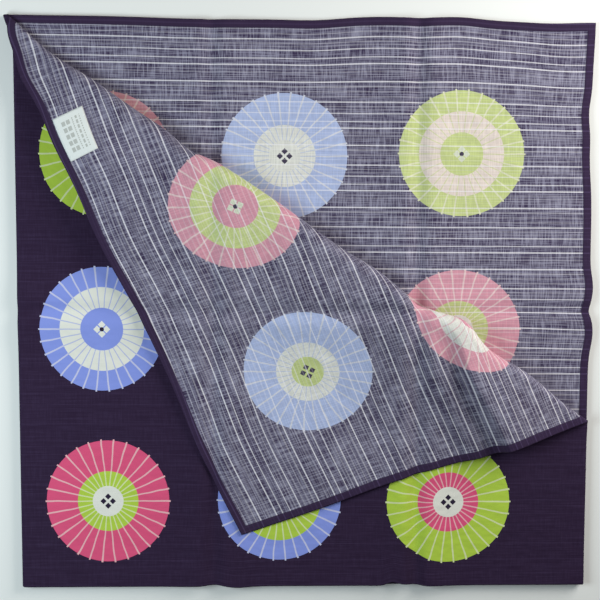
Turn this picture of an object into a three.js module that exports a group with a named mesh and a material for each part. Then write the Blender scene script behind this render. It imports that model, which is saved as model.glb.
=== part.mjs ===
// A large square cotton furoshiki, folded in four and lying flat, with the free corner of its top
// layer turned back to show the reverse. Millimetres, +Z up, the folds at the left and the bottom.
//
// The cloth is described by its threads: u runs across the open square and v up it, both from -HALF
// to +HALF. The quarter with u and v above zero ends up on top with its front up. It goes round the
// bottom fold into the quarter below it (v under zero), and both go round the left fold into the two
// lowest quarters (u under zero). So the whole stack is one back-and-forth sheet.

import * as THREE from "three";

// Driving dimensions.
const CLOTH = 1040; // side of the open, hemmed square
const SHEET = 1.0; // thickness of the cloth as a solid
const HEM = 6.5; // width of the turned-in hem
const HEM_EXTRA = 0.3; // what the hem adds on the reverse
const HEM_STEP = 1.0; // width over which that thickness builds up
const PITCH = 2.0; // height from one layer to the next
const LABEL = { from: 107, long: 41.2, deep: 27, thick: 1.0, clear: 0.55 }; // along the top hem
const LABEL_SKEW = 0.14; // the label keeps its square corners where the cloth lies sheared
const HALF = CLOTH / 2;

// Where the corners of the folded square lie, measured at the folds' tangent lines and at the hems.
const PLACE = {
  bottomLeft: { x: -253.0, y: -264.1 },
  bottomRight: { x: 262.3, y: -262.2 },
  topRight: { x: 262.4, y: 247.0 },
  topLeft: { x: -252.2, y: 254.0 },
};

// How far the free corner of the two lowest quarters stops short of the top one.
const SHORT = { third: { x: -3, y: -2.5 }, lowest: { x: -1.5, y: -4 } };

// Small swells and dents of the edges, along each edge, and how far each stands out.
const RIGHT_EDGE = [
  { at: 202, wide: 26, out: -3.4 },
  { at: 12, wide: 14, out: 3.2 },
  { at: -10, wide: 4, out: -3.4 },
  { at: -32, wide: 17, out: 3.6 },
];
const TOP_EDGE = [
  { at: -80, wide: 60, out: -2.4 },
  { at: 62, wide: 60, out: 2.6 },
];
const BOTTOM_EDGE = [
  { at: -78, wide: 16, out: -1.6 },
  { at: -58, wide: 12, out: 1.2 },
  { at: 92, wide: 14, out: -2.6 },
];
const EDGE_FADE = { right: 70, top: 90, bottom: 60 }; // how far inwards they die out

// The top left corner leans out to the left, where the turned-back hem starts.
const LEAN = { y: 258, wide: 18, out: 8.6, fade: 90 };

// Storage creases: the folded stack was folded again, in three across and in two up.
const CREASES_X = [
  { at: -82, high: 0.9 },
  { at: 102, high: 1.3 },
];
const CREASE_Y = { at: -9, high: 1.6 };
const CREASE_LIFT = 28; // reach of the soft lift on both sides of a crease
const CREASE_VALLEY = 6; // reach of the valley pressed in between
const SPRING = { reach: 16, high: 0.9 }; // the folded edges stand up a little

// The turned-back corner. On the open cloth its fold line runs from the top hem to the right hem.
const TURN_START = 5; // u where the line leaves the top hem
const TURN_END = 155; // v where it reaches the right hem
const RIM_START = { x: -257.5, y: 252.5 }; // the fold's outermost edge as it lies, end to end
const RIM_END = { x: 261, y: -110 };
const RIM_WAVES = [
  { at: 50, wide: 36, out: -5.0 },
  { at: 130, wide: 60, out: -3.6 },
  { at: 197, wide: 20, out: -4.4 },
  { at: 290, wide: 60, out: 1.6 },
  { at: 395, wide: 26, out: 2.8 },
  { at: 442, wide: 9, out: -2.6 },
  { at: 485, wide: 23, out: 10.5 },
  { at: 559, wide: 34, out: 4.4 },
];
const ROLL = [
  { at: 0, radius: 1.0 },
  { at: 60, radius: 5.5 },
  { at: 135, radius: 10 },
  { at: 380, radius: 9.5 },
  { at: 450, radius: 8 },
  { at: 560, radius: 6 },
  { at: 634, radius: 1.3 },
];

// How far from the roll the top layer under it, and the turned-back cloth over it, give way with it.
const UNDER_GIVE = [
  { at: 1.5, reach: 0.2 },
  { at: 110, reach: 130 },
  { at: 515, reach: 130 },
  { at: 631, reach: 14 },
];
const OVER_GIVE = 110;

// The turned-back cloth lies a little sheared: its corner, and the way that each edge runs from it.
const CORNER = { x: -52.6, y: -214.1 };
const TOWARDS_START = { x: -0.4092, y: 0.907 }; // for each millimetre of the top hem
const TOWARDS_END = { x: 0.9523, y: 0.3054 }; // for each millimetre of the right hem
const TAKE_UP = 0.965; // share of the right hem's length that shows, up to the ridge
const RIDGE_TAKE_UP = 0.78; // and beyond it, where the cloth slopes
const TOP_HEM_WAVES = [
  { at: 20, wide: 16, out: 4.2 },
  { at: 55, wide: 28, out: 7.2 },
  { at: 125, wide: 32, out: 2.4 },
  { at: 184, wide: 16, out: -3.0 },
];
const RIGHT_HEM_WAVES = [{ at: 350, wide: 80, out: -5.6 }];
const RIGHT_HEM_FADE = { from: 400, full: 520 }; // u between which the right hem's wave grows
const ROLL_FADE = 40; // next to the roll, waves and lifts grow over this distance

// How high the turned-back cloth floats over the layer under it, apart from its roll.
const LIFTS = [
  { u: 150, v: 520, wideU: 95, wideV: 70, high: 8 },
  { u: 320, v: 520, wideU: 90, wideV: 60, high: 3.5 },
  { u: 520, v: 400, wideU: 60, wideV: 55, high: 3 },
];
const SETTLE = 140; // distance over which the roll's height dies out
const RIDGE = { v: 255, steep: 9, gentle: 44, high: 12, from: 385, full: 470 };

// How finely the faces are cut.
const CREASE_MARK = 13; // a row or column stands this far on both sides of a crease
const ROW_STEP = 60;
const COLUMN_STEP = 26;
const LOWER_COLUMN_STEP = 110; // in the two lowest quarters, which are hidden
const LABEL_STEP = 8;
const TURN_STEPS = { left: 3, bottom: 2 }; // steps in each quarter turn of the two folds
const TURN_FAN = [3, 9, 18]; // close columns where the roll begins
const ROLL_STEPS = 8; // rows round the roll
const ROLL_ROOM = 0.3; // near the roll's start its rows keep within this share of the way from it
const HEM_ROOM = { step: 0.4, hem: 0.3 }; // shares of the room for the hem's rows where it is narrow
const LEVEL_ROWS = [180, 205, 228, 243, 251, 259, 266, 274, 290, 325, 370, 420, 470]; // at the ridge
const LEVELLED = { from: 320, full: 400 }; // u between which the rows over the roll become level
const LEAST_ROW = 0.4;
const NORMAL_STEP = 0.05;
const WELD = 1e4; // thread points per millimetre that count as different

const CLOTH_LOOK = { color: 0x3c2c4a, roughness: 0.85 };
const LABEL_LOOK = { color: 0xe4e8e6, roughness: 0.7 };

const smooth = (t) => {
  const c = Math.min(1, Math.max(0, t));
  return c * c * (3 - 2 * c);
};
const bell = (d) => Math.exp(-d * d);
const waves = (table, at) =>
  table.reduce((sum, w) => sum + w.out * bell((at - w.at) / w.wide), 0);

// A value read from a table, in a straight line between its rows.
function readTable(table, column, at) {
  const next = table.findIndex((row) => row.at >= at);
  if (next === 0) return table[0][column];
  if (next < 0) return table[table.length - 1][column];
  const [a, b] = [table[next - 1], table[next]];
  return a[column] + (b[column] - a[column]) * ((at - a.at) / (b.at - a.at));
}

// A strip folded back on itself at s = 0: two straight runs joined by half a circle.
function foldBack(s, radius) {
  const quarter = (Math.PI / 2) * radius;
  if (Math.abs(s) >= quarter)
    return { along: Math.abs(s) - quarter, up: Math.sign(s) * radius };
  return {
    along: -radius * Math.cos(s / radius),
    up: radius * Math.sin(s / radius),
  };
}

const BOTTOM_RADIUS = PITCH / 2;
const LEFT_RADIUS = PITCH;
const BOTTOM_QUARTER = (Math.PI / 2) * BOTTOM_RADIUS;
const LEFT_QUARTER = (Math.PI / 2) * LEFT_RADIUS;
const WIDTH = HALF - LEFT_QUARTER; // flat run from the left fold to the right hem
const HEIGHT = HALF - BOTTOM_QUARTER; // flat run from the bottom fold to the top hem
const STACK = 3 * PITCH; // height from the lowest layer to the top one

// The place on the table of a point that lies so far from the left fold and the bottom fold.
function onTable(across, up) {
  const [a, b] = [across / WIDTH, up / HEIGHT];
  const mix = (axis) =>
    (PLACE.bottomLeft[axis] * (1 - a) + PLACE.bottomRight[axis] * a) * (1 - b) +
    (PLACE.topLeft[axis] * (1 - a) + PLACE.topRight[axis] * a) * b;
  let [x, y] = [mix("x"), mix("y")];
  x += waves(RIGHT_EDGE, y) * smooth(1 + (across - WIDTH) / EDGE_FADE.right);
  y += waves(TOP_EDGE, x) * smooth(1 + (up - HEIGHT) / EDGE_FADE.top);
  y -= waves(BOTTOM_EDGE, x) * smooth(1 - up / EDGE_FADE.bottom);
  x -= LEAN.out * bell((y - LEAN.y) / LEAN.wide) * smooth(1 - across / LEAN.fade);
  return { x, y };
}

// The soft lift beside each storage crease, and the spring of the two folded edges.
function relief(x, y) {
  const valley = (d) => bell(d / CREASE_LIFT) * (1 - bell(d / CREASE_VALLEY));
  const creases = CREASES_X.reduce(
    (sum, crease) => sum + crease.high * valley(x - crease.at),
    CREASE_Y.high * valley(y - CREASE_Y.at),
  );
  const spring =
    bell((x - PLACE.bottomLeft.x) / SPRING.reach) +
    bell((y - PLACE.bottomLeft.y) / SPRING.reach);
  return creases + SPRING.high * Math.min(1, spring);
}

// One of the four stacked layers, at the thread point u, v.
function layerPoint(u, v) {
  const lengthwise = foldBack(v, BOTTOM_RADIUS);
  const bend = LEFT_RADIUS + lengthwise.up;
  const turn = Math.max(-Math.PI / 2, Math.min(Math.PI / 2, u / LEFT_RADIUS));
  const across =
    Math.abs(u) >= LEFT_QUARTER
      ? Math.abs(u) - LEFT_QUARTER
      : -bend * Math.cos(turn);
  const { x, y } = onTable(across, lengthwise.along);
  const share = u < 0 ? Math.abs(u * v) / (HALF * HALF) : 0;
  const short = v < 0 ? SHORT.third : SHORT.lowest;
  const level = bend * Math.sin(turn) + STACK / 2;
  return new THREE.Vector3(
    x + short.x * share,
    y + short.y * share,
    level + relief(x, y) * (level / STACK) + SHEET / 2,
  );
}

// The fold line of the turned-back corner on the open cloth, and where a thread point lies from it.
const START = new THREE.Vector2(TURN_START, HALF);
const LINE = new THREE.Vector2(HALF, TURN_END).sub(START);
const LINE_LENGTH = LINE.length();
const ALONG = LINE.clone().divideScalar(LINE_LENGTH);
const ACROSS = new THREE.Vector2(-ALONG.y, ALONG.x); // towards the free corner
const RIM = new THREE.Vector2(
  RIM_END.x - RIM_START.x,
  RIM_END.y - RIM_START.y,
).normalize();
const RIM_OUT = new THREE.Vector2(-RIM.y, RIM.x);

function fromLine(u, v) {
  const point = new THREE.Vector2(u, v).sub(START);
  return { t: point.dot(ALONG), s: point.dot(ACROSS) };
}
const lineThread = (t, s) => ({
  u: START.x + ALONG.x * t + ACROSS.x * s,
  v: START.y + ALONG.y * t + ACROSS.y * s,
});
const rollRadius = (t) => readTable(ROLL, "radius", t);

// The axis of the roll as it lies on the table.
function rollAxis(t) {
  const out = waves(RIM_WAVES, t) - rollRadius(t);
  const share = t / LINE_LENGTH;
  return {
    x: RIM_START.x + (RIM_END.x - RIM_START.x) * share + RIM_OUT.x * out,
    y: RIM_START.y + (RIM_END.y - RIM_START.y) * share + RIM_OUT.y * out,
  };
}

// The turned-back cloth as it lies, without its roll.
function turnedPlace(u, v) {
  const [a, b] = [HALF - u, HALF - v];
  const toRidge = HALF - RIDGE.v;
  const run =
    TAKE_UP * Math.min(b, toRidge) + RIDGE_TAKE_UP * Math.max(0, b - toRidge);
  return {
    x: CORNER.x + TOWARDS_START.x * a + TOWARDS_END.x * run,
    y: CORNER.y + TOWARDS_START.y * a + TOWARDS_END.y * run,
  };
}

// How far the two hems of the turned-back corner wave out, dying away towards the roll.
function hemWaves(u, v, beyond) {
  const toHem = (HALF - v) * ACROSS.y;
  const grown = smooth((u - RIGHT_HEM_FADE.from) / (RIGHT_HEM_FADE.full - RIGHT_HEM_FADE.from));
  const top = waves(TOP_HEM_WAVES, u) * smooth(beyond / (beyond + toHem + 1));
  const right = waves(RIGHT_HEM_WAVES, v) * grown * smooth(beyond / ROLL_FADE);
  return {
    x: -TOWARDS_END.x * top - TOWARDS_START.x * right,
    y: -TOWARDS_END.y * top - TOWARDS_START.y * right,
  };
}

// The height of the turned-back cloth over the layer under it.
function turnedHeight(u, v) {
  const { t, s } = fromLine(u, v);
  const radius = rollRadius(t);
  const beyond = Math.max(0, s - (Math.PI / 2) * radius);
  const roll = (2 * radius - PITCH) * (1 - smooth(beyond / SETTLE));
  const lifts = LIFTS.reduce(
    (sum, l) => sum + l.high * bell((u - l.u) / l.wideU) * bell((v - l.v) / l.wideV),
    0,
  );
  const side = v > RIDGE.v ? (v - RIDGE.v) / RIDGE.steep : (RIDGE.v - v) / RIDGE.gentle;
  const grown = smooth((u - RIDGE.from) / (RIDGE.full - RIDGE.from));
  const ridge = RIDGE.high * grown * Math.exp(1 - Math.hypot(1, side));
  return PITCH + roll + smooth(beyond / ROLL_FADE) * lifts + ridge;
}

// The top layer under the turned-back corner, drawn towards the roll.
function underPoint(u, v, t, beyond) {
  const under = layerPoint(u, v);
  const axis = rollAxis(t);
  const tangent = lineThread(t, (-Math.PI / 2) * rollRadius(t));
  const met = layerPoint(tangent.u, tangent.v);
  const pull = 1 - smooth(beyond / readTable(UNDER_GIVE, "reach", t));
  const [x, y] = [under.x + (axis.x - met.x) * pull, under.y + (axis.y - met.y) * pull];
  return new THREE.Vector3(x, y, STACK + relief(x, y) + SHEET / 2);
}

// The turned-back corner, drawn towards the roll.
function overPoint(u, v, t, beyond) {
  const place = turnedPlace(u, v);
  const axis = rollAxis(t);
  const tangent = lineThread(t, (Math.PI / 2) * rollRadius(t));
  const met = turnedPlace(tangent.u, tangent.v);
  const pull = 1 - smooth(beyond / OVER_GIVE);
  const wave = hemWaves(u, v, beyond);
  const x = place.x + (axis.x - met.x) * pull + wave.x;
  const y = place.y + (axis.y - met.y) * pull + wave.y;
  return new THREE.Vector3(x, y, STACK + relief(x, y) + SHEET / 2 + turnedHeight(u, v));
}

// The roll between them: half a turn, as high as the turned-back cloth where that leaves it.
function rollPoint(t, s) {
  const radius = rollRadius(t);
  const axis = rollAxis(t);
  const end = lineThread(t, (Math.PI / 2) * radius);
  const out = radius * Math.cos(s / radius);
  const risen = (turnedHeight(end.u, end.v) * (1 + Math.sin(s / radius))) / 2;
  return new THREE.Vector3(
    axis.x + RIM_OUT.x * out,
    axis.y + RIM_OUT.y * out,
    STACK + relief(axis.x, axis.y) + SHEET / 2 + risen,
  );
}

// The middle of the sheet at any thread point.
function clothPoint(u, v) {
  if (u <= TURN_START || v <= TURN_END / 2) return layerPoint(u, v);
  const { t, s } = fromLine(u, v);
  const quarter = (Math.PI / 2) * rollRadius(t);
  if (s <= -quarter) return underPoint(u, v, t, -s - quarter);
  if (s >= quarter) return overPoint(u, v, t, s - quarter);
  return rollPoint(t, s);
}

// The direction that the cloth's front faces at a thread point.
function frontAt(u, v) {
  const inside = (w) => Math.min(HALF, Math.max(-HALF, w));
  const [left, right] = [inside(u - NORMAL_STEP), inside(u + NORMAL_STEP)];
  const [below, above] = [inside(v - NORMAL_STEP), inside(v + NORMAL_STEP)];
  const du = clothPoint(right, v).sub(clothPoint(left, v));
  const dv = clothPoint(u, above).sub(clothPoint(u, below));
  return du.cross(dv).normalize();
}

// The hem is the same cloth turned in on the reverse, so the sheet thickens there.
function hemThickness(u, v) {
  const edge = HALF - Math.max(Math.abs(u), Math.abs(v));
  return HEM_EXTRA * (1 - smooth((edge - HEM) / HEM_STEP));
}

// Marks with more of them put between, so that no step is longer than asked.
function fill(marks, step) {
  const filled = [marks[0]];
  for (let i = 1; i < marks.length; i++) {
    const parts = Math.ceil((marks[i] - marks[i - 1]) / step);
    for (let k = 1; k <= parts; k++)
      filled.push(marks[i - 1] + ((marks[i] - marks[i - 1]) * k) / parts);
  }
  return filled;
}
const mirrored = (marks) => marks.map((m) => -m).reverse();
const hemMarks = [HALF - HEM - HEM_STEP, HALF - HEM, HALF];
const creaseMarks = (at) => [at - CREASE_MARK, at, at + CREASE_MARK];
const turnMarks = (quarter, steps) => fill([-quarter, 0, quarter], quarter / steps);

// Columns: the turn of the left fold, then the right half with lines at the creases.
const leftTurn = turnMarks(LEFT_QUARTER, TURN_STEPS.left);
const leftColumns = mirrored(fill([LEFT_QUARTER, ...hemMarks], LOWER_COLUMN_STEP));
const creaseColumns = CREASES_X.flatMap((crease) =>
  creaseMarks(crease.at - PLACE.bottomLeft.x + LEFT_QUARTER),
);
const rightColumns = fill(
  [
    TURN_START,
    ...TURN_FAN.map((d) => TURN_START + d),
    ...creaseColumns,
    ...hemMarks,
  ],
  COLUMN_STEP,
);
const bottomTurn = turnMarks(BOTTOM_QUARTER, TURN_STEPS.bottom);
const creaseRows = creaseMarks(CREASE_Y.at - PLACE.bottomLeft.y + BOTTOM_QUARTER);
const upperRows = fill([BOTTOM_QUARTER, ...creaseRows, ...hemMarks], ROW_STEP);

// The height on the open cloth of each row of the top quarter in one column: rows under the
// turned-back corner, rows round its roll, and rows over the turned-back cloth up to the hem.
function topQuarterRows(u) {
  const slope = (TURN_END - HALF) / (HALF - TURN_START);
  const line = HALF + slope * (u - TURN_START);
  const quarter = (Math.PI / 2) * rollRadius(fromLine(u, line).t);
  const reach = Math.min(quarter / ACROSS.y, ROLL_ROOM * (u - TURN_START));
  const [low, high] = [line - reach, line + reach];
  const underShare = (low - BOTTOM_QUARTER) / (HALF - BOTTOM_QUARTER);
  const under = upperRows.map((v) => BOTTOM_QUARTER + (v - BOTTOM_QUARTER) * underShare);
  const around = Array.from(
    { length: ROLL_STEPS },
    (_, k) => low + ((high - low) * (k + 1)) / ROLL_STEPS,
  );
  const room = HALF - high;
  const hemStep = HALF - Math.min(HEM + HEM_STEP, HEM_ROOM.step * room);
  const hem = HALF - Math.min(HEM, HEM_ROOM.hem * room);
  const levelled = smooth((u - LEVELLED.from) / (LEVELLED.full - LEVELLED.from));
  const over = LEVEL_ROWS.map((v, k) => {
    const even = high + ((hemStep - high) * (k + 1)) / (LEVEL_ROWS.length + 1);
    const lowest = high + LEAST_ROW * (k + 1);
    const highest = Math.max(even, hemStep - LEAST_ROW * (LEVEL_ROWS.length - k));
    return even + (Math.min(Math.max(v, lowest), highest) - even) * levelled;
  });
  return [...under, ...around, ...over, hemStep, hem, HALF];
}

// Thread points of a patch, column by column, with every column's own list of rows.
const patch = (columns, rowsAt) =>
  columns.map((u) => rowsAt(u).map((v) => [u, v]));

// Collects patches of thread points into one triangulated sheet whose shared points are one.
class ThreadSheet {
  points = [];
  triangles = [];
  index = new Map();

  id(point) {
    const key = point.map((c) => Math.round(c * WELD)).join();
    if (!this.index.has(key)) {
      this.index.set(key, this.points.length);
      this.points.push(point);
    }
    return this.index.get(key);
  }

  triangle(a, b, c) {
    const corners = [this.id(a), this.id(b), this.id(c)];
    if (new Set(corners).size === 3) this.triangles.push(corners);
  }

  addPatch(columns) {
    for (let i = 1; i < columns.length; i++) {
      const [left, right] = [columns[i - 1], columns[i]];
      const rows = Math.max(left.length, right.length);
      const at = (column, k) => column[Math.min(k, column.length - 1)];
      for (let k = 1; k < rows; k++) {
        this.triangle(at(left, k - 1), at(right, k - 1), at(right, k));
        this.triangle(at(left, k - 1), at(right, k), at(left, k));
      }
    }
  }

  // The sheet as a closed solid: a front face, a reverse face and a rim along its open edges.
  solid(frontFace, reverseFace) {
    const count = this.points.length;
    const vertices = [
      ...this.points.map(([u, v]) => frontFace(u, v)),
      ...this.points.map(([u, v]) => reverseFace(u, v)),
    ];
    const faces = [];
    const open = new Map();
    for (const [a, b, c] of this.triangles) {
      faces.push(a, b, c, a + count, c + count, b + count);
      for (const [p, q] of [[a, b], [b, c], [c, a]]) {
        if (open.has(`${q},${p}`)) open.delete(`${q},${p}`);
        else open.set(`${p},${q}`, [p, q]);
      }
    }
    for (const [p, q] of open.values())
      faces.push(q, p, p + count, q, p + count, q + count);
    const geometry = new THREE.BufferGeometry();
    geometry.setFromPoints(vertices);
    geometry.setIndex(faces);
    geometry.computeVertexNormals();
    return geometry;
  }
}

// A face of the cloth or the label, so far from the middle of the cloth on its front side.
const faceAt = (offset) => (u, v) =>
  clothPoint(u, v).addScaledVector(frontAt(u, v), offset(u, v));

// The whole cloth: four quarters round two folds, with the top quarter's corner turned back.
function clothSolid() {
  const sheet = new ThreadSheet();
  const lowerRows = mirrored(upperRows);
  const everyRow = [...lowerRows, ...bottomTurn.slice(1, -1), ...upperRows];
  sheet.addPatch(patch(leftColumns, () => everyRow));
  sheet.addPatch(patch([...leftTurn, TURN_START], () => everyRow));
  sheet.addPatch(patch(rightColumns, () => lowerRows));
  sheet.addPatch(patch(rightColumns, () => bottomTurn));
  sheet.addPatch(patch(rightColumns, (u) => (u > TURN_START ? topQuarterRows(u) : upperRows)));
  return sheet.solid(
    faceAt(() => SHEET / 2),
    faceAt((u, v) => -SHEET / 2 - hemThickness(u, v)),
  );
}

// The care label: a small plate sewn on the reverse against the inner edge of the top hem.
function labelSolid() {
  const sheet = new ThreadSheet();
  const hemEdge = HALF - HEM - HEM_STEP;
  const columns = fill([LABEL.from, LABEL.from + LABEL.long], LABEL_STEP);
  const rows = fill([hemEdge - LABEL.deep, hemEdge], LABEL_STEP);
  sheet.addPatch(patch(columns, () => rows));
  const near = -SHEET / 2 - LABEL.clear;
  const labelFace = (offset) => (u, v) =>
    faceAt(() => offset)(u - LABEL_SKEW * (hemEdge - v), v);
  return sheet.solid(labelFace(near), labelFace(near - LABEL.thick));
}

// Puts the folded cloth's box over the origin, with its lowest face at height zero.
function centred(group) {
  const box = new THREE.Box3().setFromObject(group, true);
  group.position.set(
    -(box.min.x + box.max.x) / 2,
    -(box.min.y + box.max.y) / 2,
    -box.min.z,
  );
  return group;
}

function part(name, geometry, look) {
  const mesh = new THREE.Mesh(geometry, new THREE.MeshStandardMaterial(look));
  mesh.name = name;
  return mesh;
}

const furoshiki = new THREE.Group();
furoshiki.add(part("cloth", clothSolid(), CLOTH_LOOK));
furoshiki.add(part("label", labelSolid(), LABEL_LOOK));

export default centred(furoshiki);
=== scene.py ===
import math

import bpy
import numpy as np
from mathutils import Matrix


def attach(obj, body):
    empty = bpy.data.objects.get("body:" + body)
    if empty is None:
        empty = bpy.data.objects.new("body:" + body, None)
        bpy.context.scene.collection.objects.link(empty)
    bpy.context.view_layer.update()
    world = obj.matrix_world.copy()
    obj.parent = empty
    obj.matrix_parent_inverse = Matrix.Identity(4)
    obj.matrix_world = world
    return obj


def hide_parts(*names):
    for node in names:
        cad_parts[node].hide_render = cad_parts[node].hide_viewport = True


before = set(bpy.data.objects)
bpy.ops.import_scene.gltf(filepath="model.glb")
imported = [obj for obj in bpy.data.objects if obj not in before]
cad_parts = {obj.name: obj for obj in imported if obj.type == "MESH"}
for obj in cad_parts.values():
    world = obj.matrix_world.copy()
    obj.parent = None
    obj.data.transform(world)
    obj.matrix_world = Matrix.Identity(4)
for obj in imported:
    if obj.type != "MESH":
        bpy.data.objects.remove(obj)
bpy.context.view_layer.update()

bl_info = {
    "name": "Folded furoshiki",
    "version": (1, 0, 0),
    "blender": (4, 5, 0),
    "location": "3D View > Sidebar > Furoshiki",
    "description": "Builds a folded wrapping cloth with a turned-back corner, its label and its stage",
    "category": "Object",
}

# Lengths in these tables are millimetres on the open cloth (u across, v up, both from the middle)
# or on the table (x across, y up). The mesh is in metres.
MM = 0.001

# Where the corners of the folded square lie, at the folds' tangent lines and at the hems.
BOTTOM_LEFT = (-252.6, -263.8)
BOTTOM_RIGHT = (260.4, -261.2)
TOP_RIGHT = (262.4, 247.0)
TOP_LEFT = (-252.2, 254.0)
CENTRE = (0.7144, -5.7049)  # the middle of the folded cloth's box

# How far the free corner of the two lowest quarters stops short of the top one.
THIRD_SHORT = (-3.0, -2.5)
LOWEST_SHORT = (-1.5, -4.0)

# Swells and dents of the edges: (place along the edge, reach, how far it stands out).
RIGHT_EDGE = [
    (202, 26, -1.4),
    (168, 18, -3.4),
    (130, 30, -2.6),
    (12, 14, 2.6),
    (-10, 6, -1.4),
    (-30, 17, 3.2),
]
TOP_EDGE = [(-80, 60, -1.8), (62, 60, 2.6), (15, 36, -2.4), (142, 26, 2.6), (222, 26, -1.2)]
BOTTOM_EDGE = [(-78, 16, -1.6), (-58, 12, 1.2), (85, 7, -3.4), (98, 14, -1.6)]
RIGHT_FADE, TOP_FADE, BOTTOM_FADE = 70, 90, 60  # how far inwards they die out

# The top left corner leans out to the left: (y, reach, how far, fade).
LEAN_Y, LEAN_REACH, LEAN_OUT, LEAN_FADE = 258, 18, 8.6, 90

# Storage creases: (place, height of the soft lift on both sides).
CREASES_X = [(-79, 4.2), (106, 5.6)]
CREASES_Y = [(-9, 3.6)]
CREASE_LIFT = 28  # reach of the lift
CREASE_VALLEY = 8  # reach of the valley pressed in between
SPRING_REACH, SPRING_HIGH = 16, 0.9  # the folded edges stand up a little

# The turned-back corner's fold line: u where it leaves the top hem, v where it reaches the right.
TURN_START = 5
TURN_END = 155
RIM_START = (-257.5, 252.5)  # the fold's outermost edge as it lies
RIM_END = (261, -110)
# Its waves: (place along the fold line, reach, how far they stand out).
RIM_WAVES = [
    (50, 36, -5.0),
    (130, 60, -3.6),
    (197, 20, -4.4),
    (290, 60, 1.6),
    (395, 26, 2.8),
    (442, 9, -2.6),
    (485, 23, 10.5),
    (559, 34, 4.4),
]
# The roll: (place along the fold line, radius).
ROLL = [(0, 1.0), (60, 5.5), (135, 10), (380, 9.5), (450, 8), (560, 6), (634, 1.3)]
# How far from the roll the cloth is still drawn towards it: under it, (place along the fold line,
# reach), and in the turned-back corner.
UNDER_GIVE = [(1.5, 0.2), (110, 130), (515, 130), (631, 14)]
OVER_GIVE = 110

# The turned-back cloth lies a little sheared: its corner, and each edge's way from it.
CORNER = (-52.6, -214.1)
TOWARDS_START = (-0.4092, 0.907)
TOWARDS_END = (0.9523, 0.3054)
TAKE_UP = 0.965  # share of the right hem's length that shows, up to the ridge
RIDGE_TAKE_UP = 0.78  # and beyond it
# Waves of its two hems: (place along the hem, reach, how far they stand out).
TOP_HEM_WAVES = [(20, 16, 4.2), (55, 28, 6.6), (125, 40, 4.2), (225, 52, 4.6), (440, 60, 3.4)]
RIGHT_HEM_WAVES = [(350, 80, -5.6)]
RIGHT_HEM_FROM, RIGHT_HEM_FULL = 400, 520  # u where the right hem's wave begins and is full
ROLL_FADE = 40  # that wave and the lifts grow over this way from the roll

# How high the turned-back cloth floats: (u, v, reach in u, reach in v, height).
LIFTS = [
    (150, 520, 95, 70, 8),
    (225, 520, 50, 60, 6),
    (320, 520, 90, 60, 3.5),
    (520, 400, 60, 55, 3),
]
SETTLE = 140  # the roll's height dies out over this way

# The ridge near the end of the roll: its v, how far it reaches on its two sides, and its height.
RIDGE_V, RIDGE_STEEP, RIDGE_GENTLE, RIDGE_HIGH = 255, 5, 36, 18
RIDGE_FROM, RIDGE_FULL = 370, 455  # u where it begins and where it has its full height
SHOULDER_V, SHOULDER_REACH, SHOULDER_HIGH = 284, 13, 6.5  # the swell beyond the ridge's valley

HEM_NEAR = 24  # the hem's width is measured on the table within this distance of the edge

# Where the stripes drift off their place: (u, v, reach in u, reach in v, what v gains there).
DRIFT = [
    (300, -390, 420, 120, -1.0),
    (510, -480, 46, 46, -3.6),
    (440, -238, 55, 20, 2.4),
    (290, 370, 30, 30, 1.2),
    (360, 508, 80, 40, 0.8),
]
# On the turned-back corner they also lie a little wider than in its slanted frame: from this far
# off the fold line, or from this v on, by this share.
WIDER, WIDER_FROM_LINE, WIDER_FROM_V = -0.037, 75, 290


def smooth(t):
    """A smooth step from 0 to 1."""
    t = np.clip(t, 0.0, 1.0)
    return t * t * (3 - 2 * t)


def bell(d):
    """A bell curve that is 1 at 0."""
    return np.exp(-d * d)


def waves(table, at):
    """The sum of a table's bells, each (place, reach, height)."""
    return sum(out * bell((at - place) / reach) for place, reach, out in table)


def read_table(table, at):
    """A value read from (place, value) rows in a straight line between them."""
    places, values = zip(*table)
    return np.interp(at, places, values)


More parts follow.
